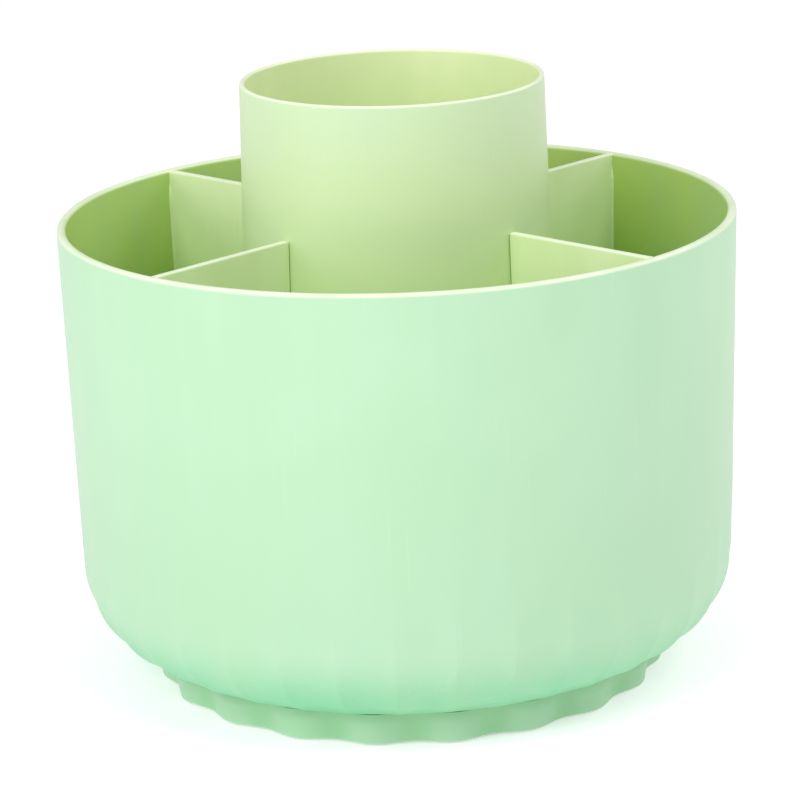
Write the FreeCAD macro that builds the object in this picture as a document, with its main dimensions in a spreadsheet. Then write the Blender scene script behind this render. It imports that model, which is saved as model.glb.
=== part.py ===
import FreeCAD, Part
import math
import os
import Sketcher

# A turning desk caddy: a tub with four divider plates and a tall centre cup, on a scalloped foot.
# Millimetres, +Z up. The origin is on the axis of rotation, where the rubber feet touch the table.

doc = FreeCAD.newDocument("caddy")
sheet = doc.addObject("Spreadsheet::Sheet", "Sizes")
Vector = FreeCAD.Vector

DRIVING_SIZES = {
    # tub
    "rim_radius": (75.0, "outside of the tub at its rim"),
    "rim_height": (104.5, "tub rim above the table"),
    "heel_radius": (72.85, "drafted wall carried down to the tub's underside"),
    "under_height": (7.5, "tub underside above the table"),
    "heel_round": (20.0, "outside rounding between wall and underside"),
    "tub_wall": (2.0, "tub wall and floor"),
    "recess_radius": (45.0, "recess under the tub that hides the bearing"),
    "recess_ceiling": (12.1, "ceiling of that recess above the table"),
    "rim_round": (0.9, "rounded edges of rims"),
    # dividers
    "divider_thick": (1.6, "divider plate"),
    "divider_top_gap": (0.2, "divider top below the rim"),
    "groove_depth": (0.8, "groove that holds a divider in the tub"),
    "groove_play": (0.05, "space round a divider in its groove"),
    "cup_gap": (0.3, "divider's inner end to the cup"),
    "divider_corner": (0.5, "rounded inner top corner of a divider"),
    # centre cup
    "cup_rim_radius": (33.4, "outside of the cup at its rim"),
    "cup_height": (134.5, "cup rim above the table"),
    "cup_foot_radius": (35.8, "outside of the cup at the tub floor"),
    "cup_wall": (1.2, "cup wall"),
    "cup_flange_inner": (28.0, "bore of the cup's foot flange"),
    "cup_flange_thick": (1.6, "cup's foot flange"),
    "cup_boss_height": (7.0, "screw bosses above that flange"),
    "cup_lip_round": (0.5, "rounded edges of the cup's rim"),
    # turntable bearing
    "ball_radius": (2.0, "bearing ball"),
    "ball_play": (0.05, "space between ball and race"),
    "track_radius": (36.0, "circle of the ball centres"),
    "race_inner": (29.0, "race bore"),
    "race_outer": (42.0, "race outside"),
    "race_thick": (1.2, "race plate"),
    "cage_inner": (32.5, "cage bore"),
    "cage_outer": (39.5, "cage outside"),
    "cage_thick": (1.6, "cage plate"),
    "pocket_play": (0.1, "space between ball and cage pocket"),
    "race_screw_circle": (31.7, "circle of the race screws"),
    # screws
    "screw_radius": (1.25, "screw shank"),
    "screw_head_radius": (2.2, "countersunk head"),
    "screw_play": (0.03, "space round a screw in its pilot hole"),
    "screw_clearance": (0.1, "space round a screw in a through hole"),
    "screw_end_play": (0.5, "screw tip to the end of its pilot hole"),
    "pilot_floor": (0.6, "material beyond a pilot hole in the foot"),
    "cup_boss_floor": (1.5, "material beyond a pilot hole in the cup"),
    "boss_radius": (3.2, "screw bosses"),
    "driver_arm": (1.05, "cross recess, middle to the end of an arm"),
    "driver_slot": (0.4, "width of an arm of that recess"),
    "driver_deep": (1.0, "depth of that recess"),
    # foot
    "foot_top": (6.7, "top face of the foot, which carries the bearing"),
    "foot_edge": (0.5, "lower edge of the foot's skirt"),
    "foot_gap": (0.3, "space between the foot's raised rim and the tub's heel"),
    "crest_low": (57.06, "lobe crests at the lower edge"),
    "crest_high": (58.2, "lobe crests at the top of the raised rim"),
    "lobe_depth": (1.92, "crest to valley"),
    "valley_round": (9.6, "radius of a valley"),
    "crest_round": (7.0, "rounding between valley and crest"),
    "skirt_wall": (2.0, "skirt under a valley"),
    "foot_deck": (2.0, "top plate of the foot"),
    "hub_play": (0.1, "raised middle of the foot in the race bore"),
    "hub_rise": (3.2, "raised middle above the top face"),
    "hub_deck": (2.4, "thickness of the raised middle"),
    "plate_inset": (0.4, "underside plate above the skirt's edge"),
    "plate_thick": (1.8, "underside plate"),
    "plate_play": (0.3, "underside plate to the skirt"),
    "plate_screw_circle": (36.0, "circle of the underside screws"),
    "pad_radius": (5.0, "rubber foot"),
    "pad_circle": (45.0, "circle of the rubber feet"),
    "pad_socket": (0.8, "depth of a rubber foot's socket"),
    "pad_play": (0.05, "space round a rubber foot in its socket"),
    "pad_bevel": (0.4, "bevel round a rubber foot"),
    "socket_radius": (7.5, "boss round the bolt head"),
    "socket_play": (0.1, "socket's hexagon wider than the bolt head"),
    # pivot
    "bolt_radius": (2.5, "pivot bolt shank"),
    "bolt_head_flats": (8.0, "bolt head and nut across flats"),
    "bolt_head_high": (3.5, "bolt head"),
    "bolt_bevel": (0.5, "bevel on the bolt's end"),
    "bolt_play": (0.05, "shank in the bush"),
    "bush_radius": (4.5, "bush outside"),
    "bush_flange": (7.0, "bush flange"),
    "bush_flange_thick": (1.2, "bush flange"),
    "pivot_boss_radius": (9.0, "tub's centre boss"),
    "pivot_boss_height": (6.0, "tub's centre boss above the floor"),
    "washer_radius": (6.5, "washer outside"),
    "washer_thick": (1.0, "washer"),
    "washer_play": (0.1, "end play between bush flange and washer"),
    "washer_bore_play": (0.1, "space between washer and shank"),
    "nut_height": (4.5, "lock nut"),
    "bolt_stub": (1.0, "bolt end above the nut"),
    "cap_wall": (1.2, "pivot cap wall"),
    "cap_round": (1.0, "rounded upper edge of the cap"),
    "cap_room": (1.6, "space over the bolt inside the cap"),
    "fit_play": (0.02, "space in a pressed fit"),
}
LOBES = 20
BALLS = 16
PADS = 6
SCREWS = 4
DIVIDERS = {"front_right": -45, "rear_right": 45, "rear_left": 135, "front_left": 225}  # degrees
GROOVE_TURN = 45  # degrees, where the first divider groove lies
PLATE_SCREW_TURN = 45  # degrees, which keeps the underside screws between the race screws
SAME_PLACE = 1e-3  # mm, within which a point or an edge counts as being at a size


class Size:
    """A length that carries both its number and the sheet expression it comes from."""

    def __init__(self, value, text):
        self.value = value
        self.text = text

    @staticmethod
    def of(other):
        return other if isinstance(other, Size) else Size(float(other), repr(float(other)))

    def __add__(self, other):
        other = Size.of(other)
        return Size(self.value + other.value, f"({self.text} + {other.text})")

    def __sub__(self, other):
        other = Size.of(other)
        return Size(self.value - other.value, f"({self.text} - {other.text})")

    def __mul__(self, other):
        other = Size.of(other)
        return Size(self.value * other.value, f"({self.text} * {other.text})")

    def __truediv__(self, other):
        other = Size.of(other)
        return Size(self.value / other.value, f"({self.text} / {other.text})")

    def __neg__(self):
        return Size(-self.value, f"(0 - {self.text})")

    def __radd__(self, other):
        return Size.of(other) + self

    def __rsub__(self, other):
        return Size.of(other) - self

    def __rmul__(self, other):
        return Size.of(other) * self


def root(size):
    return Size(math.sqrt(size.value), f"sqrt({size.text})")


def hypotenuse(slope):
    return root(slope * slope + 1)


for row, (alias, (value, meaning)) in enumerate(DRIVING_SIZES.items(), start=1):
    sheet.set(f"A{row}", meaning)
    sheet.set(f"B{row}", str(value))
    sheet.setAlias(f"B{row}", alias)
doc.recompute()
S = {alias: Size(value, f"Sizes.{alias}") for alias, (value, _) in DRIVING_SIZES.items()}

# Heights and slopes that several pieces share.
floor_low = S["under_height"] + S["tub_wall"]
floor_high = S["recess_ceiling"] + S["tub_wall"]
step_radius = S["recess_radius"] + S["tub_wall"]
wall_slope = (S["rim_radius"] - S["heel_radius"]) / (S["rim_height"] - S["under_height"])
cup_slope = (S["cup_foot_radius"] - S["cup_rim_radius"]) / (S["cup_height"] - floor_high)
heel_centre_height = S["under_height"] + S["heel_round"]
heel_centre = (
    S["heel_radius"] + wall_slope * S["heel_round"] - S["heel_round"] * hypotenuse(wall_slope)
)
lower_race_top = S["foot_top"] + S["race_thick"]
upper_race_low = S["recess_ceiling"] - S["race_thick"]
ball_height = (lower_race_top + upper_race_low) / 2
track_round = S["ball_radius"] + S["ball_play"]
rim_round = S["heel_round"] + S["foot_gap"]
rim_reach = S["crest_high"] - heel_centre
rim_top = heel_centre_height - root(rim_round * rim_round - rim_reach * rim_reach)
skirt_high = rim_top - S["foot_edge"]
hub_top = S["foot_top"] + S["hub_rise"]
bolt_seat = hub_top - S["hub_deck"]
plate_low = S["foot_edge"] + S["plate_inset"]
plate_high = plate_low + S["plate_thick"]
pivot_boss_top = floor_high + S["pivot_boss_height"]
washer_low = pivot_boss_top + S["bush_flange_thick"] + S["washer_play"]
washer_high = washer_low + S["washer_thick"]
nut_high = washer_high + S["nut_height"]
bolt_end = nut_high + S["bolt_stub"]
cage_low = ball_height - S["cage_thick"] / 2
hub_radius = S["race_inner"] - S["hub_play"]
valley_low = S["crest_low"] - S["lobe_depth"]
skirt_inner = valley_low - S["skirt_wall"]
pilot_radius = S["screw_radius"] + S["screw_play"]


def wall_radius(height, inset):
    """Radius of the tub's drafted wall at a height, measured inset square to its outside."""
    return S["heel_radius"] + wall_slope * (height - S["under_height"]) - inset * hypotenuse(wall_slope)


def cup_radius(height, inset=0.0):
    """Radius of the cup's outside at a height, or inset from it."""
    return S["cup_foot_radius"] - cup_slope * (height - floor_high) - inset


def origin_feature(body, role):
    return [feature for feature in body.Origin.OriginFeatures if feature.Role == role][0]


def new_body(label):
    body = doc.addObject("PartDesign::Body", label)
    body.Label = label
    return body


def new_sketch(body, name, plane, height=None, turn=0):
    """Empty sketch on an origin plane of its body, raised by a height or turned about Z."""
    sketch = body.newObject("Sketcher::SketchObject", f"{body.Name}_{name}")
    sketch.AttachmentSupport = [(origin_feature(body, plane), "")]
    sketch.MapMode = "FlatFace"
    if turn:
        sketch.AttachmentOffset = FreeCAD.Placement(Vector(), FreeCAD.Rotation(Vector(0, 1, 0), turn))
    if height is not None:
        sketch.setExpression("AttachmentOffset.Base.z", height.text)
    return sketch


def pin_point(sketch, geometry, end, x, y):
    """Hold one end of a line or arc at a place given by two sizes."""
    for kind, axis, size in (("DistanceX", -2, x), ("DistanceY", -1, y)):
        size = Size.of(size)
        if abs(size.value) < SAME_PLACE:
            sketch.addConstraint(Sketcher.Constraint("PointOnObject", geometry, end, axis))
            continue
        index = sketch.addConstraint(Sketcher.Constraint(kind, -1, 1, geometry, end, size.value))
        sketch.setExpression(f"Constraints[{index}]", size.text)


def arc_through(start, finish, radius, side):
    """Shorter arc between two points; side +1 puts its centre left of the way, -1 right."""
    chord = finish - start
    middle = (start + finish) * 0.5
    left = Vector(-chord.y, chord.x, 0).normalize()
    centre = middle + left * side * math.sqrt(radius**2 - (chord.Length / 2) ** 2)
    crown = centre + (middle - centre).normalize() * radius
    return Part.Arc(start, crown, finish)


def outline(sketch, corners):
    """Closed outline through corners (x, y), where (x, y, radius, side) starts an arc."""
    points = [Vector(Size.of(c[0]).value, Size.of(c[1]).value, 0) for c in corners]
    ends = []
    for number, corner in enumerate(corners):
        start = points[number]
        finish = points[(number + 1) % len(points)]
        if len(corner) == 2:
            geometry = sketch.addGeometry(Part.LineSegment(start, finish))
        else:
            radius, side = corner[2:]
            geometry = sketch.addGeometry(arc_through(start, finish, Size.of(radius).value, side))
            index = sketch.addConstraint(Sketcher.Constraint("Radius", geometry, Size.of(radius).value))
            sketch.setExpression(f"Constraints[{index}]", Size.of(radius).text)
        forward = sketch.getPoint(geometry, 1).distanceToPoint(start) < SAME_PLACE
        ends.append((geometry, 1 if forward else 2, 2 if forward else 1))
    for number, (geometry, first, last) in enumerate(ends):
        follower, follower_first, _ = ends[(number + 1) % len(ends)]
        sketch.addConstraint(Sketcher.Constraint("Coincident", geometry, last, follower, follower_first))
        pin_point(sketch, geometry, first, corners[number][0], corners[number][1])


def circle(sketch, x, y, radius):
    x, y, radius = Size.of(x), Size.of(y), Size.of(radius)
    centre = Vector(x.value, y.value, 0)
    geometry = sketch.addGeometry(Part.Circle(centre, Vector(0, 0, 1), radius.value))
    index = sketch.addConstraint(Sketcher.Constraint("Radius", geometry, radius.value))
    sketch.setExpression(f"Constraints[{index}]", radius.text)
    pin_point(sketch, geometry, 3, x, y)


def hexagon(sketch, flats):
    """Six-sided outline about the sketch's origin, flats a size across."""
    half = flats / 2
    reach = half / math.cos(math.pi / 6)
    turns = [math.radians(60 * number) for number in range(6)]
    points = [Vector(reach.value * math.cos(t), reach.value * math.sin(t), 0) for t in turns]
    for number in range(6):
        sketch.addGeometry(Part.LineSegment(points[number], points[(number + 1) % 6]))
    for number in range(6):
        sketch.addConstraint(Sketcher.Constraint("Coincident", number, 2, (number + 1) % 6, 1))
        if number:
            sketch.addConstraint(Sketcher.Constraint("Equal", 0, number))
    rim = sketch.addGeometry(Part.Circle(Vector(), Vector(0, 0, 1), reach.value), True)
    sketch.addConstraint(Sketcher.Constraint("Coincident", rim, 3, -1, 1))
    for number in range(6):
        sketch.addConstraint(Sketcher.Constraint("PointOnObject", number, 1, rim))
    sketch.addConstraint(Sketcher.Constraint("PointOnObject", 0, 1, -1))
    index = sketch.addConstraint(Sketcher.Constraint("Radius", rim, reach.value))
    sketch.setExpression(f"Constraints[{index}]", reach.text)


def feature(body, kind, name, sketch):
    item = body.newObject(f"PartDesign::{kind}", f"{body.Name}_{name}")
    item.Profile = sketch
    return item


def revolve(body, name, corners, axis_radius=None, kind="Revolution", turn=0):
    """Turn an outline about Z, or about an upright line at axis_radius from Z."""
    sketch = new_sketch(body, f"{name}_outline", "XZ_Plane", turn=turn)
    outline(sketch, corners)
    axis = "V_Axis"
    if axis_radius is not None:
        low = Vector(axis_radius.value, 0, 0)
        line = sketch.addGeometry(Part.LineSegment(low, low + Vector(0, 1, 0)), True)
        pin_point(sketch, line, 1, axis_radius, 0)
        sketch.addConstraint(Sketcher.Constraint("Vertical", line))
        sketch.addConstraint(Sketcher.Constraint("DistanceY", line, 1, line, 2, 1.0))
        axis = "Axis0"
    item = feature(body, kind, name, sketch)
    item.ReferenceAxis = (sketch, [axis])
    item.Angle = 360
    return item


def disc_sketch(body, name, height, ring_radius, turn, radius):
    """One circle on a level, its centre at a radius from Z and turned about Z."""
    sketch = new_sketch(body, f"{name}_circle", "XY_Plane", height)
    across = Size.of(ring_radius) * math.cos(math.radians(turn))
    along = Size.of(ring_radius) * math.sin(math.radians(turn))
    circle(sketch, across, along, radius)
    return sketch


def drill(body, name, height, depth, ring_radius, turn, radius, upward=True):
    """Cut a round hole from a level, upward or downward."""
    sketch = disc_sketch(body, name, height, ring_radius, turn, radius)
    item = feature(body, "Pocket", name, sketch)
    item.setExpression("Length", depth.text)
    item.Reversed = upward
    return item


def raise_disc(body, name, height, rise, ring_radius, turn, radius):
    """Add a round boss upward from a level."""
    sketch = disc_sketch(body, name, height, ring_radius, turn, radius)
    item = feature(body, "Pad", name, sketch)
    item.setExpression("Length", rise.text)
    return item


def ring_of(body, name, item, count):
    """Repeat a feature evenly about Z."""
    pattern = body.newObject("PartDesign::PolarPattern", f"{body.Name}_{name}")
    pattern.Originals = [item]
    pattern.Axis = (origin_feature(body, "Z_Axis"), [""])
    pattern.Angle = 360
    pattern.Occurrences = count
    body.Tip = pattern
    return pattern


def rounded(body, name, radius, chosen):
    """Fillet the edges of the body's last feature that a test chooses."""
    doc.recompute()
    base = body.Tip
    edges = [f"Edge{n}" for n, edge in enumerate(base.Shape.Edges, start=1) if chosen(edge)]
    if not edges:
        raise ValueError(f"{body.Label}: no edges to round for {name}")
    fillet = body.newObject("PartDesign::Fillet", f"{body.Name}_{name}")
    fillet.Base = (base, edges)
    fillet.setExpression("Radius", radius.text)
    body.Tip = fillet
    return fillet


def turn_body(body, degrees):
    body.Placement = FreeCAD.Placement(Vector(), FreeCAD.Rotation(Vector(0, 0, 1), degrees))


def level_circle(edge, height, radius):
    """True for a full level circle about Z at this height and radius."""
    curve = edge.Curve
    if not isinstance(curve, Part.Circle):
        return False
    level = abs(curve.Center.z - height.value) < SAME_PLACE
    return level and abs(curve.Radius - radius.value) < SAME_PLACE


def cavity_corners(growth, top, inner):
    """Section of the space inside the tub from a radius outwards, grown into its walls."""
    inset = S["tub_wall"] - growth
    arc_radius = S["heel_round"] - inset
    level = floor_low - growth
    normal = hypotenuse(wall_slope)
    return [
        (inner, top),
        (inner, floor_high - growth),
        (step_radius - growth, floor_high - growth),
        (step_radius - growth, level),
        (heel_centre, level, arc_radius, 1),
        (heel_centre + arc_radius / normal, heel_centre_height - wall_slope * arc_radius / normal),
        (wall_radius(top, inset), top),
    ]


def make_tub():
    """One moulding: drafted wall, rounded heel, floor with a raised middle, pivot boss."""
    body = new_body("tub")
    rim = S["rim_height"]
    bore = S["bush_radius"] + S["fit_play"]
    wall_foot = (
        heel_centre + S["heel_round"] / hypotenuse(wall_slope),
        heel_centre_height - wall_slope * S["heel_round"] / hypotenuse(wall_slope),
    )
    shell = [
        (bore, S["recess_ceiling"]),
        (S["recess_radius"], S["recess_ceiling"]),
        (S["recess_radius"], S["under_height"]),
        (heel_centre, S["under_height"], S["heel_round"], 1),
        wall_foot,
        (S["rim_radius"], rim),
        (wall_radius(rim, S["tub_wall"]), rim),
    ]
    inside = cavity_corners(0.0, rim, S["pivot_boss_radius"])
    _, _, step_top, step_foot, floor_edge, wall_start, _ = inside
    arc_end = (wall_start[0], wall_start[1], S["heel_round"] - S["tub_wall"], -1)
    shell += [arc_end, (floor_edge[0], floor_edge[1]), step_foot, step_top]
    shell += [
        (S["pivot_boss_radius"], floor_high),
        (S["pivot_boss_radius"], pivot_boss_top),
        (bore, pivot_boss_top),
    ]
    revolve(body, "shell", shell)
    lips = (S["rim_radius"], wall_radius(rim, S["tub_wall"]))
    rounded(body, "rim", S["rim_round"], lambda e: any(level_circle(e, rim, lip) for lip in lips))

    sketch = new_sketch(body, "groove_section", "XZ_Plane", turn=GROOVE_TURN)
    outline(sketch, cavity_corners(S["groove_depth"], rim, cup_radius(rim)))
    groove = feature(body, "Pocket", "groove", sketch)
    groove.setExpression("Length", (S["divider_thick"] + S["groove_play"] * 2).text)
    groove.Midplane = True
    ring_of(body, "grooves", groove, len(DIVIDERS))

    hole_radius = S["screw_radius"] + S["screw_clearance"]
    screw_hole = drill(
        body, "screw_hole", S["recess_ceiling"], S["tub_wall"], S["race_screw_circle"], 0, hole_radius
    )
    ring_of(body, "screw_holes", screw_hole, SCREWS)


def make_divider(name, azimuth):
    """Upright plate that follows the tub's section and stops just short of the cup."""
    body = new_body(f"divider_{name}")
    top = S["rim_height"] - S["divider_top_gap"]
    reach = S["groove_depth"] - S["groove_play"]
    section = cavity_corners(reach, top, cup_radius(top) + S["cup_gap"])
    inner_foot = floor_high - reach
    section[1] = (cup_radius(inner_foot) + S["cup_gap"], inner_foot)
    sketch = new_sketch(body, "section", "XZ_Plane")
    outline(sketch, section)
    plate = feature(body, "Pad", "plate", sketch)
    plate.setExpression("Length", S["divider_thick"].text)
    plate.Midplane = True
    body.Tip = plate

    def is_inner_top_corner(edge):
        ends = [vertex.Point for vertex in edge.Vertexes]
        return all(
            abs(point.z - top.value) < SAME_PLACE
            and abs(point.x - section[0][0].value) < SAME_PLACE
            for point in ends
        )

    rounded(body, "corner", S["divider_corner"], is_inner_top_corner)
    turn_body(body, azimuth)


def make_centre_cup():
    """Tall sleeve, a little narrower at its rim, with a foot flange and four screw bosses."""
    body = new_body("centre_cup")
    rim = S["cup_height"]
    flange_top = floor_high + S["cup_flange_thick"]
    revolve(body, "sleeve", [
        (S["cup_flange_inner"], floor_high),
        (S["cup_foot_radius"], floor_high),
        (S["cup_rim_radius"], rim),
        (S["cup_rim_radius"] - S["cup_wall"], rim),
        (cup_radius(flange_top, S["cup_wall"]), flange_top),
        (S["cup_flange_inner"], flange_top),
    ])
    lips = (S["cup_rim_radius"], S["cup_rim_radius"] - S["cup_wall"])
    rounded(body, "lip", S["cup_lip_round"], lambda e: any(level_circle(e, rim, lip) for lip in lips))
    boss_high = S["cup_flange_thick"] + S["cup_boss_height"]
    boss = raise_disc(body, "boss", floor_high, boss_high, S["race_screw_circle"], 0, S["boss_radius"])
    ring_of(body, "bosses", boss, SCREWS)
    pilot_deep = boss_high - S["cup_boss_floor"]
    pilot = drill(body, "pilot", floor_high, pilot_deep, S["race_screw_circle"], 0, pilot_radius)
    ring_of(body, "pilots", pilot, SCREWS)


def screw_section(axis, tip, face, play=0.0):
    """Half section of a countersunk screw, its head flush with the face and its tip beyond."""
    shank = S["screw_radius"] + play
    head = S["screw_head_radius"] + play
    neck = face - (head - shank) if face.value > tip.value else face + (head - shank)
    return [(axis, tip), (axis + shank, tip), (axis + shank, neck), (axis + head, face), (axis, face)]


def make_race(label, flat, face):
    """Flat ring from its fixed side to its face, with a ball track and countersunk holes."""
    body = new_body(label)
    revolve(body, "ring", [
        (S["race_inner"], flat),
        (S["race_outer"], flat),
        (S["race_outer"], face),
        (S["race_inner"], face),
    ])
    half_width = root(track_round * track_round - (ball_height - face) * (ball_height - face))
    side = 1 if face.value < ball_height.value else -1
    body.Tip = revolve(body, "track", [
        (S["track_radius"] - half_width, face, track_round, side),
        (S["track_radius"] + half_width, face),
    ], kind="Groove")
    axis = S["race_screw_circle"]
    hole = revolve(body, "hole", screw_section(axis, flat, face, S["screw_clearance"]), axis, "Groove")
    ring_of(body, "holes", hole, SCREWS)


def cross_outline(sketch, x, y):
    """Outline of a cross recess about a point, its arms along X and Y."""
    arm = S["driver_arm"]
    half = S["driver_slot"] / 2
    quarter = [(arm, -half), (arm, half), (half, half)]
    corners = []
    for _ in range(4):
        corners += [(x + across, y + along) for across, along in quarter]
        quarter = [(-along, across) for across, along in quarter]
    outline(sketch, corners)


def make_screws(label, tip, face, circle_radius, turn=0):
    """Four countersunk screws evenly on a circle, each with a cross recess in its head."""
    body = new_body(label)
    screw = revolve(body, "screw", screw_section(circle_radius, tip, face), circle_radius, turn=turn)
    sketch = new_sketch(body, "cross", "XY_Plane", face)
    across = circle_radius * math.cos(math.radians(turn))
    along = circle_radius * math.sin(math.radians(turn))
    cross_outline(sketch, across, along)
    recess = feature(body, "Pocket", "recess", sketch)
    recess.setExpression("Length", S["driver_deep"].text)
    recess.Reversed = face.value < tip.value
    pattern = ring_of(body, "screws", screw, SCREWS)
    pattern.Originals = [screw, recess]


def make_ball_cage():
    """Flat ring that spaces the balls, one round pocket for each."""
    body = new_body("ball_cage")
    top = cage_low + S["cage_thick"]
    revolve(body, "ring", [
        (S["cage_inner"], cage_low),
        (S["cage_outer"], cage_low),
        (S["cage_outer"], top),
        (S["cage_inner"], top),
    ])
    pocket_radius = S["ball_radius"] + S["pocket_play"]
    pocket = drill(body, "pocket", cage_low, S["cage_thick"], S["track_radius"], 0, pocket_radius)
    ring_of(body, "pockets", pocket, BALLS)


def make_bearing_balls():
    body = new_body("bearing_balls")
    centre, ball = S["track_radius"], S["ball_radius"]
    half_disc = [
        (centre, ball_height - ball, ball, 1),
        (centre + ball, ball_height, ball, 1),
        (centre, ball_height + ball),
    ]
    ring_of(body, "balls", revolve(body, "ball", half_disc, centre), BALLS)


def make_foot_shell():
    """Scalloped skirt and top plate in one: the rim rises under the heel, the middle to the bolt."""
    body = new_body("foot_shell")
    bore = S["bolt_radius"] + S["fit_play"]
    deck_under = S["foot_top"] - S["foot_deck"]
    hub_inner = hub_radius - S["foot_deck"]
    revolve(body, "shell", [
        (bore, bolt_seat),
        (hub_inner, bolt_seat),
        (hub_inner, deck_under),
        (skirt_inner, deck_under),
        (skirt_inner, S["foot_edge"]),
        (S["crest_low"], S["foot_edge"]),
        (S["crest_high"], rim_top, rim_round, -1),
        (heel_centre, S["under_height"] - S["foot_gap"]),
        (heel_centre, S["foot_top"]),
        (hub_radius, S["foot_top"]),
        (hub_radius, hub_top),
        (bore, hub_top),
    ])
    valley_centre = valley_low + S["valley_round"]
    valley = drill(body, "valley", S["foot_edge"], skirt_high, valley_centre, 0, S["valley_round"])
    valley.setExpression("TaperAngle", f"-atan({((S['crest_high'] - S['crest_low']) / skirt_high).text})")
    ring_of(body, "valleys", valley, LOBES)

    def is_lobe_edge(edge):
        heights = [vertex.Point.z for vertex in edge.Vertexes]
        far_out = all(math.hypot(v.Point.x, v.Point.y) > valley_low.value for v in edge.Vertexes)
        return far_out and max(heights) - min(heights) > skirt_high.value / 2

    rounded(body, "crests", S["crest_round"], is_lobe_edge)

    boss_high = deck_under - plate_high
    for name, ring_radius, turn in (
        ("race_boss", S["race_screw_circle"], 0),
        ("plate_boss", S["plate_screw_circle"], PLATE_SCREW_TURN),
    ):
        boss = raise_disc(body, name, plate_high, boss_high, ring_radius, turn, S["boss_radius"])
        ring_of(body, f"{name}es", boss, SCREWS)
    race_pilot_deep = S["foot_top"] - plate_high - S["pilot_floor"]
    race_pilot = drill(
        body, "race_pilot", S["foot_top"], race_pilot_deep, S["race_screw_circle"], 0, pilot_radius,
        upward=False,
    )
    ring_of(body, "race_pilots", race_pilot, SCREWS)
    plate_pilot_deep = S["foot_top"] - plate_high - S["pilot_floor"]
    plate_pilot = drill(
        body, "plate_pilot", plate_high, plate_pilot_deep, S["plate_screw_circle"],
        PLATE_SCREW_TURN, pilot_radius,
    )
    ring_of(body, "plate_pilots", plate_pilot, SCREWS)

    head_low = bolt_seat - S["bolt_head_high"]
    body.Tip = raise_disc(body, "socket", head_low, S["bolt_head_high"], 0, 0, S["socket_radius"])
    sketch = new_sketch(body, "socket_hexagon", "XY_Plane", head_low)
    hexagon(sketch, S["bolt_head_flats"] + S["socket_play"])
    socket = feature(body, "Pocket", "socket_hole", sketch)
    socket.setExpression("Length", S["bolt_head_high"].text)
    socket.Reversed = True
    body.Tip = socket


def make_foot_plate():
    """Disc that closes the foot from below, with sockets for the rubber pads."""
    body = new_body("foot_plate")
    rim = skirt_inner - S["plate_play"]
    revolve(body, "disc", [(0, plate_low), (rim, plate_low), (rim, plate_high), (0, plate_high)])
    socket_radius = S["pad_radius"] + S["pad_play"]
    socket = drill(body, "socket", plate_low, S["pad_socket"], S["pad_circle"], 0, socket_radius)
    ring_of(body, "sockets", socket, PADS)
    axis = S["plate_screw_circle"]
    section = screw_section(axis, plate_high, plate_low, S["screw_clearance"])
    hole = revolve(body, "hole", section, axis, "Groove", PLATE_SCREW_TURN)
    ring_of(body, "holes", hole, SCREWS)


def make_rubber_feet():
    body = new_body("rubber_feet")
    centre, edge = S["pad_circle"], S["pad_radius"]
    bevel = S["pad_bevel"]
    top = plate_low + S["pad_socket"]
    pad = revolve(body, "pad", [
        (centre, 0),
        (centre + edge - bevel, 0),
        (centre + edge, bevel),
        (centre + edge, top),
        (centre, top),
    ], centre)
    ring_of(body, "pads", pad, PADS)


def make_pivot_bolt():
    body = new_body("pivot_bolt")
    sketch = new_sketch(body, "head_hexagon", "XY_Plane", bolt_seat - S["bolt_head_high"])
    hexagon(sketch, S["bolt_head_flats"])
    head = feature(body, "Pad", "head", sketch)
    head.setExpression("Length", S["bolt_head_high"].text)
    body.Tip = head
    revolve(body, "shank", [
        (0, bolt_seat),
        (S["bolt_radius"], bolt_seat),
        (S["bolt_radius"], bolt_end - S["bolt_bevel"]),
        (S["bolt_radius"] - S["bolt_bevel"], bolt_end),
        (0, bolt_end),
    ])


def make_pivot_bush():
    """Flanged sleeve that the bolt turns in, pressed into the tub's centre boss from above."""
    body = new_body("pivot_bush")
    bore = S["bolt_radius"] + S["bolt_play"]
    flange_top = pivot_boss_top + S["bush_flange_thick"]
    revolve(body, "sleeve", [
        (bore, S["recess_ceiling"]),
        (S["bush_radius"], S["recess_ceiling"]),
        (S["bush_radius"], pivot_boss_top),
        (S["bush_flange"], pivot_boss_top),
        (S["bush_flange"], flange_top),
        (bore, flange_top),
    ])


def make_pivot_washer():
    body = new_body("pivot_washer")
    bore = S["bolt_radius"] + S["washer_bore_play"]
    revolve(body, "ring", [
        (bore, washer_low),
        (S["washer_radius"], washer_low),
        (S["washer_radius"], washer_high),
        (bore, washer_high),
    ])


def make_pivot_nut():
    body = new_body("pivot_nut")
    sketch = new_sketch(body, "hexagon", "XY_Plane", washer_high)
    hexagon(sketch, S["bolt_head_flats"])
    block = feature(body, "Pad", "block", sketch)
    block.setExpression("Length", S["nut_height"].text)
    body.Tip = block
    body.Tip = drill(body, "thread", washer_high, S["nut_height"], 0, 0, S["bolt_radius"] + S["fit_play"])


def make_pivot_cap():
    """Round cap over the nut, pressed on the tub's centre boss."""
    body = new_body("pivot_cap")
    inner = S["pivot_boss_radius"] + S["fit_play"]
    outer = inner + S["cap_wall"]
    ceiling = bolt_end + S["cap_room"]
    top = ceiling + S["cap_wall"]
    revolve(body, "cap", [
        (inner, floor_high),
        (outer, floor_high),
        (outer, top),
        (0, top),
        (0, ceiling),
        (inner, ceiling),
    ])
    rounded(body, "edge", S["cap_round"], lambda e: level_circle(e, top, outer))


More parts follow.
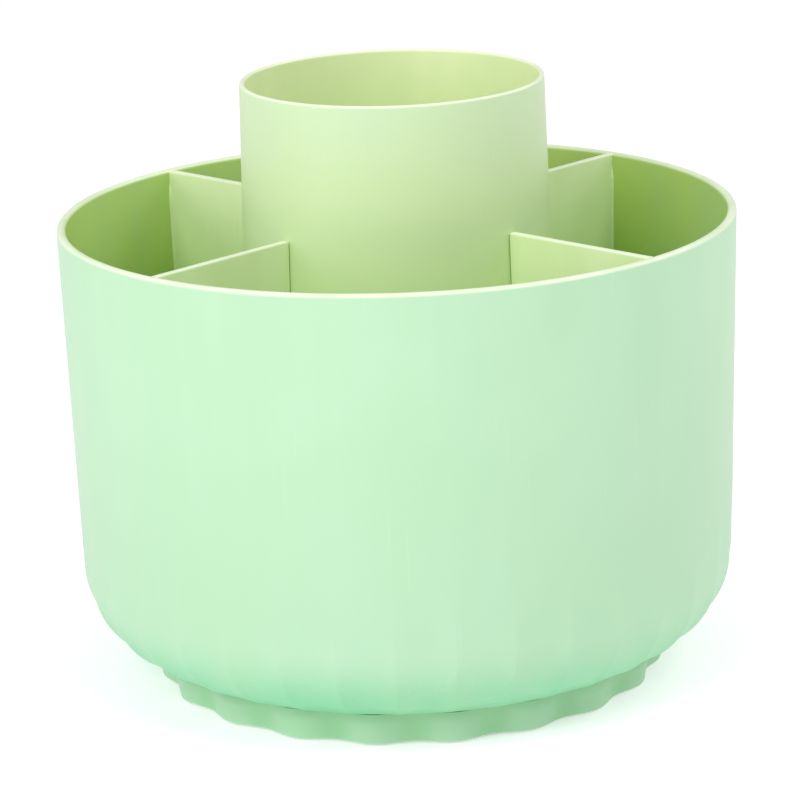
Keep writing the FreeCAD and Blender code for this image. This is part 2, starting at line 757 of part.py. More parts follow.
def check_and_write():
    """Stop on any failed object or bad shape, then write one STEP file for each sub-part."""
    doc.recompute()
    for item in doc.Objects:
        if "Invalid" in item.State or "Error" in item.State:
            raise RuntimeError(f"{item.Label} did not recompute: {item.State}")
    os.makedirs("parts", exist_ok=True)
    for body in doc.findObjects("PartDesign::Body"):
        shape = body.Shape
        if shape.isNull() or not shape.isValid():
            raise RuntimeError(f"{body.Label} has no valid shape")
        solids = len(shape.Solids)
        print(f"{body.Label}: {solids} solid(s), {shape.Volume / 1000:.2f} cm3")
        shape.exportStep(os.path.join("parts", f"{body.Label}.step"))


make_tub()
for name, azimuth in DIVIDERS.items():
    make_divider(name, azimuth)
make_centre_cup()
make_race("upper_race", S["recess_ceiling"], upper_race_low)
cup_boss_top = floor_high + S["cup_flange_thick"] + S["cup_boss_height"]
upper_tip = cup_boss_top - S["cup_boss_floor"] - S["screw_end_play"]
make_screws("upper_race_screws", upper_tip, upper_race_low, S["race_screw_circle"])
make_ball_cage()
make_bearing_balls()
make_race("lower_race", S["foot_top"], lower_race_top)
lower_tip = plate_high + S["pilot_floor"] + S["screw_end_play"]
make_screws("lower_race_screws", lower_tip, lower_race_top, S["race_screw_circle"])
make_foot_shell()
make_foot_plate()
plate_tip = S["foot_top"] - S["pilot_floor"] - S["screw_end_play"]
make_screws("foot_plate_screws", plate_tip, plate_low, S["plate_screw_circle"], PLATE_SCREW_TURN)
make_rubber_feet()
make_pivot_bolt()
make_pivot_bush()
make_pivot_washer()
make_pivot_nut()
make_pivot_cap()
check_and_write()
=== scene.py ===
import math

import bpy
import numpy as np
from mathutils import Matrix, Vector


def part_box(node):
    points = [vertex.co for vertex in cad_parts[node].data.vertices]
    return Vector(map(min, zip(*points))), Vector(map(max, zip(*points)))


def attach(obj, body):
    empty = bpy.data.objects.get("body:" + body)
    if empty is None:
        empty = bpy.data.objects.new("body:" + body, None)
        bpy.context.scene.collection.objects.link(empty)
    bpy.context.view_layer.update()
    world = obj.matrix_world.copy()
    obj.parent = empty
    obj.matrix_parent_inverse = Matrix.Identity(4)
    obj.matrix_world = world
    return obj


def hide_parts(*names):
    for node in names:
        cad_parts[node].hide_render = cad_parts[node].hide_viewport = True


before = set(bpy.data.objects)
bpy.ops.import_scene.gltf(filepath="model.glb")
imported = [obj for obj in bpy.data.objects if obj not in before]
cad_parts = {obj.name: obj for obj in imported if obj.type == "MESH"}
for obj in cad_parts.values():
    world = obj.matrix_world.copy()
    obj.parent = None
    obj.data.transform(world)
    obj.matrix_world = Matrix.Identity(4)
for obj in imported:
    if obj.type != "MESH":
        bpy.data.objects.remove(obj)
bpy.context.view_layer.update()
scene = bpy.context.scene
print("caddy: frame loaded")


# a surface is a dictionary of "points", "faces" and "masks", and several can make one piece
nearEnd = 0.0003  # a row of faces this close to each arc keeps the flat beside it flat in the light
tiny = 0.1 * nearEnd  # a shorter length than this counts as none


def ease(low, high, value):
    # 0 below low, 1 above high, and 3t^2 - 2t^3 between them
    t = np.clip((value - low) / (high - low), 0.0, 1.0)
    return t * t * (3.0 - 2.0 * t)


def unit(vector):
    return vector / np.linalg.norm(vector)


def fullTurn(count):
    # that many angles, evenly spaced round a circle from 0
    return np.arange(count) * 2.0 * math.pi / count


def roundedSection(corners, spacing=0.003, steps=8, finest=0.0012):
    # closed outline, counter-clockwise, through corners (radius, height, rounding): each corner is
    # an arc tangent to its two sides, and each side has points at the spacing and one near its ends
    points = np.array([corner[:2] for corner in corners], float)
    arcs = []
    for number, (_, _, rounding) in enumerate(corners):
        before = unit(points[number - 1] - points[number])
        after = unit(points[(number + 1) % len(points)] - points[number])
        half = 0.5 * math.acos(float(np.clip(before @ after, -1.0, 1.0)))
        centre = points[number] + unit(before + after) * rounding / math.sin(half)
        first = points[number] + before * rounding / math.tan(half) - centre
        last = points[number] + after * rounding / math.tan(half) - centre
        turn = math.atan2(first[0] * last[1] - first[1] * last[0], first @ last)
        count = max(steps, int(abs(turn) * rounding / finest))
        angles = math.atan2(first[1], first[0]) + np.linspace(0.0, turn, count + 1)
        arcs.append(centre + rounding * np.stack([np.cos(angles), np.sin(angles)], -1))
    line = []
    for number, arc in enumerate(arcs):
        start, finish = arc[-1], arcs[(number + 1) % len(arcs)][0]
        length = float(np.linalg.norm(finish - start))
        line.append(arc)
        if length > 2.0 * nearEnd:
            even = np.linspace(0.0, 1.0, max(1, round(length / spacing)) + 1)[1:-1]
            shares = np.unique(np.concatenate([[nearEnd / length], even, [1.0 - nearEnd / length]]))
            line.append(start + shares[:, None] * (finish - start))
    return np.concatenate(line)


def outwardNormals(line):
    # unit normals of a closed counter-clockwise outline, pointing out of it
    along = np.roll(line, -1, 0) - np.roll(line, 1, 0)
    return np.stack([along[:, 1], -along[:, 0]], -1) / np.linalg.norm(along, axis=1)[:, None]


def gridFaces(rows, columns, closedRows=True):
    # quads of a grid of rows x columns points numbered row by row, whose columns close on themselves
    i, j = np.meshgrid(np.arange(rows if closedRows else rows - 1), np.arange(columns), indexing="ij")
    i, j = i.ravel(), j.ravel()
    nextI, nextJ = (i + 1) % rows, (j + 1) % columns
    corners = [i * columns + j, i * columns + nextJ, nextI * columns + nextJ, nextI * columns + j]
    return np.stack(corners, -1)


def cappedFaces(rows, columns):
    # the quads of such a grid, with its first row and its last row each closed by one flat face
    first = np.arange(columns)[None, ::-1]
    last = (rows - 1) * columns + np.arange(columns)[None, :]
    return [gridFaces(rows, columns, closedRows=False), first, last]


def spun(line, angles, sink=0.0, masks=None):
    # closed outline carried round Z: (r cos a, r sin a, z), each point first moved in along the
    # outline's own normal by the sink given for it; a mask has one number for each outline point
    radius, height = line[:, :1], line[:, 1:]
    normal = outwardNormals(line)
    radius = radius - normal[:, :1] * sink
    height = height - normal[:, 1:] * sink
    points = [radius * np.cos(angles), radius * np.sin(angles), height + 0.0 * angles]
    return {
        "points": np.stack(points, -1).reshape(-1, 3),
        "faces": [gridFaces(len(line), len(angles))],
        "masks": {name: np.repeat(values, len(angles)) for name, values in (masks or {}).items()},
    }


def turned(line, columns, centre, masks=None):
    # open outline from its low end on the axis to its high end on the axis, carried round an upright
    # line through the centre: rings (r cos a, r sin a, z) between two poles, which are single points
    angles = fullTurn(columns)
    rings = line[1:-1]
    points = [rings[:, :1] * np.cos(angles), rings[:, :1] * np.sin(angles), rings[:, 1:] + 0.0 * angles]
    poles = np.array([[0.0, 0.0, line[0, 1]], [0.0, 0.0, line[-1, 1]]])
    points = np.concatenate([np.stack(points, -1).reshape(-1, 3), poles])
    points[:, :2] += centre
    j = np.arange(columns)
    nextJ, low, last = (j + 1) % columns, len(rings) * columns, (len(rings) - 1) * columns
    fans = [np.stack([low + 0 * j, nextJ, j], -1), np.stack([low + 1 + 0 * j, last + j, last + nextJ], -1)]
    return {
        "points": points,
        "faces": [gridFaces(len(rings), columns, closedRows=False)] + fans,
        "masks": {name: np.full(len(points), value) for name, value in (masks or {}).items()},
    }


def roundedDisc(radius, low, high, lowRound, highRound, spacing=0.004):
    # half outline of a turned block: flat below, rounded edge, side, rounded edge, flat above
    section = roundedSection([
        (-radius, low, lowRound),
        (radius, low, lowRound),
        (radius, high, highRound),
        (-radius, high, highRound),
    ], spacing)
    half = section[section[:, 0] > tiny]
    half = half[np.argsort(np.arctan2(half[:, 1] - 0.5 * (low + high), half[:, 0]))]
    return np.concatenate([[[0.0, low]], half, [[0.0, high]]])


def joined(parts):
    # several closed surfaces as one: the faces of each are numbered on from the last
    counts = np.cumsum([0] + [len(part["points"]) for part in parts])
    names = sorted({name for part in parts for name in part["masks"]})
    return {
        "points": np.concatenate([part["points"] for part in parts]),
        "faces": [block + first for part, first in zip(parts, counts) for block in part["faces"]],
        "masks": {
            name: np.concatenate([part["masks"].get(name, np.zeros(len(part["points"]))) for part in parts])
            for name in names
        },
    }


def makePiece(name, surface, body, nodes, material):
    # the surface as one mesh that rides a body, smooth but for its flat caps, which are the faces
    # with more than four corners; its masks become attributes of the mesh
    mesh = bpy.data.meshes.new(name)
    faces = [face for block in surface["faces"] for face in block.tolist()]
    mesh.from_pydata(surface["points"].tolist(), [], faces)
    mesh.polygons.foreach_set("use_smooth", np.array([len(face) <= 4 for face in faces]))
    for maskName, values in surface["masks"].items():
        layer = mesh.attributes.new(maskName, "FLOAT", "POINT")
        layer.data.foreach_set("value", np.asarray(values, np.float32))
    mesh.materials.append(material)
    mesh.update()
    piece = bpy.data.objects.new(name, mesh)
    scene.collection.objects.link(piece)
    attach(piece, body)
    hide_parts(*nodes)


def tint(red, green, blue):
    # a display colour in 0-255 as the linear colour that a shader takes, by the sRGB curve
    share = np.array([red, green, blue]) / 255.0
    linear = np.where(share <= 0.04045, share / 12.92, ((share + 0.055) / 1.055) ** 2.4)
    return (*linear.tolist(), 1.0)


def addNode(tree, kind, sockets=None, **settings):
    # a node with its settings; each of its sockets gets a number, a colour or another node's output
    item = tree.nodes.new(kind)
    for key, value in settings.items():
        setattr(item, key, value)
    for key, value in (sockets or {}).items():
        if isinstance(value, bpy.types.NodeSocket):
            tree.links.new(value, item.inputs[key])
        else:
            item.inputs[key].default_value = value
    return item


def mixColours(tree, share, first, second):
    # a Mix node has its two colours on inputs 6 and 7 and the mixed colour on output 2
    sockets = {0: share, 6: first, 7: second}
    return addNode(tree, "ShaderNodeMix", sockets, data_type="RGBA").outputs[2]


def calculate(tree, operation, first, second=0.0, third=0.0):
    sockets = {0: first, 1: second, 2: third}
    return addNode(tree, "ShaderNodeMath", sockets, operation=operation).outputs[0]


def between(tree, value, low, high, toLow=0.0, toHigh=1.0):
    sockets = {"Value": value, "From Min": low, "From Max": high, "To Min": toLow, "To Max": toHigh}
    return addNode(tree, "ShaderNodeMapRange", sockets, interpolation_type="SMOOTHSTEP").outputs[0]


def noise(tree, position, scale, detail=2.0, roughness=0.5, stretch=None):
    if stretch is not None:
        position = addNode(tree, "ShaderNodeMapping", {"Vector": position, "Scale": stretch}).outputs[0]
    sockets = {"Vector": position, "Scale": scale, "Detail": detail, "Roughness": roughness}
    return addNode(tree, "ShaderNodeTexNoise", sockets).outputs[0]


socketKinds = {"place": "NodeSocketVector", "colour": "NodeSocketColor", "number": "NodeSocketFloat"}


def newGroup(name, inputs, outputs):
    # inputs and outputs give each socket's name and kind
    group = bpy.data.node_groups.new(name, "ShaderNodeTree")
    for direction, sockets in (("INPUT", inputs), ("OUTPUT", outputs)):
        for label, kind in sockets.items():
            group.interface.new_socket(name=label, in_out=direction, socket_type=socketKinds[kind])
    given = group.nodes.new("NodeGroupInput").outputs
    result = group.nodes.new("NodeGroupOutput").inputs
    return group, given, result


def placeGroup(tree, group, sockets):
    return addNode(tree, "ShaderNodeGroup", sockets, node_tree=group).outputs


def buildHeightTone():
    # three colours up a wall, each fading into the next; the mint plastics use it to paint shade and light
    # that change with height
    group, given, result = newGroup("heightTone", {
        "Position": "place", "Low Color": "colour", "Middle Color": "colour", "High Color": "colour",
        "Low": "number", "Middle": "number", "High": "number",
    }, {"Color": "colour"})
    height = addNode(group, "ShaderNodeSeparateXYZ", {0: given["Position"]}).outputs[2]
    lower = between(group, height, given["Low"], given["Middle"])
    upper = between(group, height, given["Middle"], given["High"])
    tone = mixColours(group, lower, given["Low Color"], given["Middle Color"])
    group.links.new(mixColours(group, upper, tone, given["High Color"]), result["Color"])
    return group


grainPattern = {  # a scale is in repeats for each metre
    "cloudScale": 26.0,
    "streakScale": (90.0, 90.0, 9.0),  # along X, Y and Z, so the streaks stand upright
    "streakShare": 0.4,
    "secondFrom": 0.36,  # noise at which the second shade starts, and at which it is whole
    "secondFull": 0.64,
    "fineShare": 0.5,
}


def buildMouldedGrain():
    # moulded plastic: soft clouds of a second shade, flow streaks, and a fine etched grain
    group, given, result = newGroup("mouldedGrain", {
        "Position": "place", "Color": "colour", "Cloud Color": "colour", "Cloud": "number",
        "Grain Size": "number", "Roughness": "number", "Spread": "number",
    }, {"Color": "colour", "Roughness": "number", "Height": "number"})
    streakShare, fineShare = grainPattern["streakShare"], grainPattern["fineShare"]
    clouds = noise(group, given["Position"], grainPattern["cloudScale"], detail=3.0, roughness=0.55)
    streaks = noise(group, given["Position"], 1.0, stretch=grainPattern["streakScale"])
    cloudPart = calculate(group, "MULTIPLY", clouds, 1.0 - streakShare)
    drift = calculate(group, "MULTIPLY_ADD", streaks, streakShare, cloudPart)
    second = between(group, drift, grainPattern["secondFrom"], grainPattern["secondFull"])
    share = calculate(group, "MULTIPLY", second, given["Cloud"])
    group.links.new(mixColours(group, share, given["Color"], given["Cloud Color"]), result["Color"])
    perMetre = calculate(group, "DIVIDE", 1.0, given["Grain Size"])
    fine = noise(group, given["Position"], perMetre, detail=3.0, roughness=0.6)
    finePart = calculate(group, "MULTIPLY", fine, fineShare)
    sheen = calculate(group, "ADD", finePart, calculate(group, "MULTIPLY", drift, 1.0 - fineShare))
    varied = calculate(group, "SUBTRACT", sheen, 0.5)
    rough = calculate(group, "MULTIPLY_ADD", varied, given["Spread"], given["Roughness"])
    group.links.new(rough, result["Roughness"])
    group.links.new(fine, result["Height"])
    return group


edgePattern = {"patchScale": 70.0, "patchFrom": 0.3, "patchFull": 0.7, "least": 0.75, "smoother": 0.12}


def buildEdgeHighlightAndRub():
    # rims and edges, paler in patches, a painted highlight, and smoother where hands rub them
    group, given, result = newGroup("edgeHighlightAndRub", {
        "Position": "place", "Color": "colour", "Roughness": "number", "Mask": "number",
        "Edge Color": "colour", "Amount": "number",
    }, {"Color": "colour", "Roughness": "number"})
    cells = noise(group, given["Position"], edgePattern["patchScale"], detail=3.0, roughness=0.6)
    patches = between(
        group, cells, edgePattern["patchFrom"], edgePattern["patchFull"], toLow=edgePattern["least"]
    )
    patchedShare = calculate(group, "MULTIPLY", patches, given["Mask"])
    share = calculate(group, "MULTIPLY", patchedShare, given["Amount"])
    group.links.new(mixColours(group, share, given["Color"], given["Edge Color"]), result["Color"])
    smoother = calculate(group, "MULTIPLY_ADD", share, -edgePattern["smoother"], given["Roughness"])
    group.links.new(smoother, result["Roughness"])
    return group


scuffPattern = {
    "streakScale": (900.0, 900.0, 30.0),  # along X, Y and Z, so the streaks stand upright
    "streakFrom": 0.60,
    "streakFull": 0.72,
    "patchScale": 45.0,
    "patchFrom": 0.48,
    "patchFull": 0.66,
    "rougher": 0.15,
}


def buildToolScuffs():
    # faint upright rubs left by what is dropped in and drawn out: long thin streaks, thinned by patches
    group, given, result = newGroup("toolScuffs", {
        "Position": "place", "Color": "colour", "Roughness": "number", "Scuff Color": "colour",
        "Amount": "number",
    }, {"Color": "colour", "Roughness": "number"})
    streaks = noise(group, given["Position"], 1.0, stretch=scuffPattern["streakScale"])
    lines = between(group, streaks, scuffPattern["streakFrom"], scuffPattern["streakFull"])
    cells = noise(group, given["Position"], scuffPattern["patchScale"])
    patches = between(group, cells, scuffPattern["patchFrom"], scuffPattern["patchFull"])
    patchedShare = calculate(group, "MULTIPLY", lines, patches)
    share = calculate(group, "MULTIPLY", patchedShare, given["Amount"])
    group.links.new(mixColours(group, share, given["Color"], given["Scuff Color"]), result["Color"])
    rougher = calculate(group, "MULTIPLY_ADD", share, scuffPattern["rougher"], given["Roughness"])
    group.links.new(rougher, result["Roughness"])
    return group


metalPattern = {"dullFrom": 0.35, "dullFull": 0.65}


def buildPlatedMetal():
    # plated or polished steel: small cells of brighter and duller metal and a fine rolled grain
    group, given, result = newGroup("platedMetal", {
        "Position": "place", "Color": "colour", "Dull Color": "colour", "Cell Size": "number",
        "Roughness": "number", "Spread": "number",
    }, {"Color": "colour", "Roughness": "number", "Height": "number"})
    perMetre = calculate(group, "DIVIDE", 1.0, given["Cell Size"])
    cells = noise(group, given["Position"], perMetre, detail=4.0, roughness=0.65)
    share = between(group, cells, metalPattern["dullFrom"], metalPattern["dullFull"])
    group.links.new(mixColours(group, share, given["Color"], given["Dull Color"]), result["Color"])
    varied = calculate(group, "SUBTRACT", cells, 0.5)
    rough = calculate(group, "MULTIPLY_ADD", varied, given["Spread"], given["Roughness"])
    group.links.new(rough, result["Roughness"])
    group.links.new(cells, result["Height"])
    return group


heightTone = buildHeightTone()
mouldedGrain = buildMouldedGrain()
edgeHighlightAndRub = buildEdgeHighlightAndRub()
toolScuffs = buildToolScuffs()
platedMetal = buildPlatedMetal()


def newMaterial(name):
    material = bpy.data.materials.new(name)
    material.use_nodes = True
    tree = material.node_tree
    tree.nodes.clear()
    shader = addNode(tree, "ShaderNodeBsdfPrincipled")
    addNode(tree, "ShaderNodeOutputMaterial", {"Surface": shader.outputs[0]})
    position = addNode(tree, "ShaderNodeTexCoord").outputs["Object"]
    return material, tree, shader, position


def setShader(tree, shader, colour, roughness, height, grainDepth, constants):
    # changing values go in by links, constants straight on the shader's own sockets
    tree.links.new(colour, shader.inputs["Base Color"])
    tree.links.new(roughness, shader.inputs["Roughness"])
    bump = addNode(tree, "ShaderNodeBump", {"Strength": 1.0, "Distance": grainDepth, "Height": height})
    tree.links.new(bump.outputs[0], shader.inputs["Normal"])
    for label, value in constants.items():
        shader.inputs[label].default_value = value


def mouldedPlastic(name, finish):
    # outside and inside each have three colours up their height, which the "inside" mask chooses from; most
    # of the difference between them is painted shade and painted light on one plastic
    material, tree, shader, position = newMaterial(name)
    sides = []
    for side in ("outside", "inside"):
        low, middle, high = finish[side]
        lowAt, middleAt, highAt = finish[side + "Heights"]
        sides.append(placeGroup(tree, heightTone, {
            "Position": position, "Low Color": tint(*low), "Middle Color": tint(*middle),
            "High Color": tint(*high), "Low": lowAt, "Middle": middleAt, "High": highAt,
        })["Color"])
    masks = {}
    for label in ("inside", "edge", "groove"):
        masks[label] = addNode(tree, "ShaderNodeAttribute", attribute_name=label).outputs["Fac"]
    colour = mixColours(tree, masks["inside"], *sides)
    # flute hollows and foot valleys darkened towards one colour: painted shade
    hollowShadeShare = calculate(tree, "MULTIPLY", masks["groove"], finish["grooveShade"])
    colour = mixColours(tree, hollowShadeShare, colour, tint(*finish["groove"]))
    grain = placeGroup(tree, mouldedGrain, {
        "Position": position, "Color": colour, "Cloud Color": tint(*finish["cloud"]),
        "Cloud": finish["clouds"], "Grain Size": finish["grainSize"],
        "Roughness": finish["roughness"], "Spread": finish["roughnessSpread"],
    })
    scuffs = placeGroup(tree, toolScuffs, {
        "Position": position, "Color": grain["Color"], "Roughness": grain["Roughness"],
        "Scuff Color": tint(*finish["scuff"]), "Amount": finish["scuffs"],
    })
    # rims paler, a painted highlight, and smoother where rubbed
    edges = placeGroup(tree, edgeHighlightAndRub, {
        "Position": position, "Color": scuffs["Color"], "Roughness": scuffs["Roughness"],
        "Mask": masks["edge"], "Edge Color": tint(*finish["edge"]), "Amount": finish["edges"],
    })
    setShader(tree, shader, edges["Color"], edges["Roughness"], grain["Height"], finish["grainDepth"], {
        "IOR": finish["refraction"], "Specular IOR Level": finish["shine"],
    })
    return material


tubFinish = {  # colours are display values in 0-255, and heights are above the table
    # outside: the low colour, darker and bluer on the heel that faces the table, is painted shade
    "outside": ((113, 199, 145), (175, 214, 178), (179, 219, 181)),
    "outsideHeights": (0.009, 0.027, 0.095),
    # the inside colours are a darker, yellower copy of the mint, darkest low in the compartments: painted
    # shade
    "inside": ((175, 210, 99), (179, 212, 106), (194, 221, 124)),
    "insideHeights": (0.012, 0.060, 0.104),
    # a flute's hollow and a foot valley are darkened towards this colour: painted shade
    "groove": (146, 208, 167), "grooveShade": 0.15,
    "cloud": (169, 211, 167), "clouds": 0.35,
    # the edge colour, near white along the rims, is a painted highlight
    "edge": (244, 255, 226), "edges": 0.9,
    "scuff": (190, 224, 188), "scuffs": 0.2,
    "grainSize": 0.0006, "grainDepth": 0.000012,
    "roughness": 0.42, "roughnessSpread": 0.12, "shine": 0.45, "refraction": 1.46,
}
cupFinish = dict(
    tubFinish,
    outside=((220, 244, 174), (214, 236, 182), (202, 226, 185)),
    outsideHeights=(0.078, 0.108, 0.134),
    # inside the cup: darker towards its bottom and near white under the lip, painted shade and painted
    # light
    inside=((193, 230, 124), (219, 250, 158), (242, 251, 202)),
    insideHeights=(0.020, 0.090, 0.134),
    cloud=(207, 234, 173),
)
dividerFinish = dict(
    tubFinish,
    # the plates: a paler copy of the mint, paler still towards their tops, painted light
    inside=((212, 251, 161), (216, 251, 176), (234, 251, 201)),
    cloud=(208, 233, 150),
)
footFinish = dict(
    tubFinish,
    # the foot: darker towards its top, under the overhanging heel, painted shade
    outside=((165, 206, 169), (159, 202, 163), (136, 189, 143)),
    outsideHeights=(0.0005, 0.0045, 0.0078),
    groove=(139, 196, 142), grooveShade=0.6,
    cloud=(158, 214, 160), edge=(190, 232, 190), edges=0.6, scuffs=0.1,
)
nylonFinish = dict(
    tubFinish,
    outside=((232, 228, 214), (236, 232, 220), (238, 235, 224)),
    inside=((232, 228, 214), (236, 232, 220), (238, 235, 224)),
    cloud=(224, 218, 200), edge=(245, 243, 236), scuff=(214, 210, 196), grooveShade=0.0,
)
rubberFinish = dict(
    tubFinish,
    outside=((58, 60, 58), (62, 64, 62), (66, 68, 66)),
    inside=((58, 60, 58), (62, 64, 62), (66, 68, 66)),
    outsideHeights=(0.0, 0.001, 0.002), insideHeights=(0.0, 0.001, 0.002),
    cloud=(78, 80, 76), clouds=0.6, edge=(96, 98, 92), edges=0.5, scuff=(110, 112, 104), scuffs=0.6,
    grooveShade=0.0, grainSize=0.0009, grainDepth=0.00004,
    roughness=0.78, roughnessSpread=0.2, shine=0.3,
)


def steel(name, finish):
    material, tree, shader, position = newMaterial(name)
    metal = placeGroup(tree, platedMetal, {
        "Position": position, "Color": tint(*finish["bright"]), "Dull Color": tint(*finish["dull"]),
        "Cell Size": finish["cellSize"], "Roughness": finish["roughness"], "Spread": finish["spread"],
    })
    scuffs = placeGroup(tree, toolScuffs, {
        "Position": position, "Color": metal["Color"], "Roughness": metal["Roughness"],
        "Scuff Color": tint(*finish["worn"]), "Amount": finish["wear"],
    })
    setShader(tree, shader, scuffs["Color"], scuffs["Roughness"], metal["Height"], finish["grainDepth"], {
        "Metallic": 1.0,
    })
    return material


zincFinish = {
    "bright": (214, 217, 220), "dull": (176, 180, 186), "worn": (150, 150, 148), "wear": 0.5,
    "cellSize": 0.0015, "roughness": 0.34, "spread": 0.25, "grainDepth": 0.00001,
}
ballFinish = dict(
    zincFinish, bright=(228, 230, 232), dull=(214, 216, 220), roughness=0.14, spread=0.08, wear=0.2
)

tubPlastic = mouldedPlastic("tub_plastic_mint", tubFinish)
cupPlastic = mouldedPlastic("cup_plastic_mint", cupFinish)
dividerPlastic = mouldedPlastic("divider_plastic_mint", dividerFinish)
footPlastic = mouldedPlastic("foot_plastic_mint", footFinish)
nylon = mouldedPlastic("natural_nylon", nylonFinish)
rubber = mouldedPlastic("soft_rubber", rubberFinish)
zincSteel = steel("zinc_plated_steel", zincFinish)
bearingSteel = steel("bearing_steel", ballFinish)
print("caddy: materials ready")


tub = {
    "rimRadius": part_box("tub")[1].x,
    "rimHeight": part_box("tub")[1].z,
    "heelRadius": 0.07285,  # drafted wall carried down to the underside
    "underHeight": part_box("tub")[0].z,
    "heelRound": 0.020,
    "wall": 0.0020,
    "rimRound": 0.0009,
    "smallRound": 0.0004,
    "stepRound": 0.0015,  # where the floor steps up over the bearing
    "recessRadius": 0.045,
    "recessCeiling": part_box("upper_race")[1].z,
    "boreRadius": 0.00452,
    "bossRadius": 0.009,
    "bossHeight": 0.006,
    "flutes": 36,
    "firstFlute": math.radians(-93.6),
    "fluteDepth": 0.00042,
    "fluteTop": 0.0420,  # where a flute starts, above the table
    "fluteFull": 0.0200,  # where it has its whole depth
    "fluteEnd": 0.0588,  # radius at which it has died out under the heel
    "fluteEndRun": 0.0050,
    # columns over each flute, as shares of its width, closer together towards its edges
    "fluteColumns": (0.0, 0.025, 0.08, 0.18, 0.32, 0.5, 0.68, 0.82, 0.92, 0.975),
}
floorLow = tub["underHeight"] + tub["wall"]
floorHigh = tub["recessCeiling"] + tub["wall"]
stepRadius = tub["recessRadius"] + tub["wall"]
wallSlope = (tub["rimRadius"] - tub["heelRadius"]) / (tub["rimHeight"] - tub["underHeight"])
wallSecant = math.hypot(1.0, wallSlope)


def wallRadius(height, inset):
    # radius of the drafted wall at a height, measured inset square to its outside
    return tub["heelRadius"] + wallSlope * (height - tub["underHeight"]) - inset * wallSecant


def sideMasks(line, edgeDepth):
    # inside is 1 past the highest point of the outline, with a soft change across the lip; edge grows
    # from 0 at the foot of the rounded lip to 1 over the lower seven tenths of it
    radius, height = line[:, 0], line[:, 1]
    top = height.max()
    lip = radius[height > top - tiny]
    past = np.arange(len(line)) > height.argmax()
    onLip = height > top - edgeDepth
    blend = 1.0 - ease(lip.min() - edgeDepth, lip.max() + edgeDepth, radius)
    edge = ease(top - edgeDepth, top - 0.3 * edgeDepth, height)
    return {"inside": np.where(onLip, blend, past), "edge": edge}


def makeTub():
    # the outline goes round the axis; each flute sinks the outside by depth * (1 - u^2), with u
    # from -1 to 1 across it, and dies out at both of its ends
    line = roundedSection([
        (tub["boreRadius"], tub["recessCeiling"], tub["smallRound"]),
        (tub["recessRadius"], tub["recessCeiling"], tub["smallRound"]),
        (tub["recessRadius"], tub["underHeight"], tub["smallRound"]),
        (tub["heelRadius"], tub["underHeight"], tub["heelRound"]),
        (tub["rimRadius"], tub["rimHeight"], tub["rimRound"]),
        (wallRadius(tub["rimHeight"], tub["wall"]), tub["rimHeight"], tub["rimRound"]),
        (wallRadius(floorLow, tub["wall"]), floorLow, tub["heelRound"] - tub["wall"]),
        (stepRadius, floorLow, tub["stepRound"]),
        (stepRadius, floorHigh, tub["stepRound"]),
        (tub["bossRadius"], floorHigh, tub["smallRound"]),
        (tub["bossRadius"], floorHigh + tub["bossHeight"], tub["smallRound"]),
        (tub["boreRadius"], floorHigh + tub["bossHeight"], tub["smallRound"]),
    ], spacing=0.0025)
    masks = sideMasks(line, tub["rimRound"])
    across = np.array(tub["fluteColumns"])
    count = tub["flutes"]
    angles = tub["firstFlute"] + (np.arange(count)[:, None] + across).ravel() * 2.0 * math.pi / count
    bowl = np.tile(1.0 - (2.0 * across - 1.0) ** 2, count)
    outside = np.arange(len(line)) < line[:, 1].argmax()
    fade = 1.0 - ease(tub["fluteFull"], tub["fluteTop"], line[:, 1])
    fade = fade * ease(tub["fluteEnd"], tub["fluteEnd"] + tub["fluteEndRun"], line[:, 0]) * outside
    depth = fade[:, None] * bowl
    surface = spun(line, angles, tub["fluteDepth"] * depth, masks)
    # the flute's depth also darkens its colour there, painted shade
    surface["masks"]["groove"] = depth.ravel()
    makePiece("tub_moulding", surface, "caddy", ["tub"], tubPlastic)


makeTub()
print("caddy: tub made")


# the dividers end at the cup, so its sizes come before both
cup = {
    "rimRadius": 0.0334,
    "footRadius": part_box("centre_cup")[1].x,
    "height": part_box("centre_cup")[1].z,
    "wall": 0.0012,
    "lipRound": 0.00055,
    "smallRound": 0.0004,
    "flangeInner": 0.028,
    "flangeThick": 0.0016,
    "bossCircle": 0.0317,
    "bossRadius": 0.0032,
    "bossHeight": 0.0070,
    "bosses": 4,
    "columns": 180,
    "bossColumns": 40,
}


def cupRadius(height):
    # outside of the cup, which narrows in a straight line from its foot to its rim
    share = (height - floorHigh) / (cup["height"] - floorHigh)
    return cup["footRadius"] + (cup["rimRadius"] - cup["footRadius"]) * share


dividers = {
    "azimuths": {"front_right": -45, "rear_right": 45, "rear_left": 135, "front_left": 225},
    "thick": 0.0016,
    "topGap": 0.0002,
    "edgeRound": 0.0003,
    "edgeSteps": 6,  # faces round each rounded edge
    "innerCorner": 0.0006,
    "seat": 0.0007,  # how far a plate stands in the wall and the floor
    "cupGap": 0.00015,
    "rootRound": 0.0005,  # fillet between plate and tub
    "rootSteps": 5,  # faces round the fillet
    "rootLeast": 0.1,  # share of the fillet that is left at its two ends
    "rootRun": 4.0,  # it has its whole size this many fillets from each end
}


def tubInside(inset, top, innerGap, roundings):
    # section of the space inside the tub, its walls moved in or out by the inset from their outside
    shift = tub["wall"] - inset
    low, high, step = floorLow - shift, floorHigh - shift, stepRadius - shift
    return roundedSection([
        (cupRadius(high) + innerGap, high, roundings["foot"]),
        (step, high, roundings["step"]),
        (step, low, roundings["step"]),
        (wallRadius(low, inset), low, tub["heelRound"] - inset),
        (wallRadius(top, inset), top, roundings["top"]),
        (cupRadius(top) + innerGap, top, roundings["inner"]),
    ])


def placed(across, beside, height, azimuth):
    # a place across the tub, beside the plate's middle plane, turned to the plate's azimuth
    cosine, sine = math.cos(azimuth), math.sin(azimuth)
    return np.stack([across * cosine - beside * sine, across * sine + beside * cosine, height], -1)


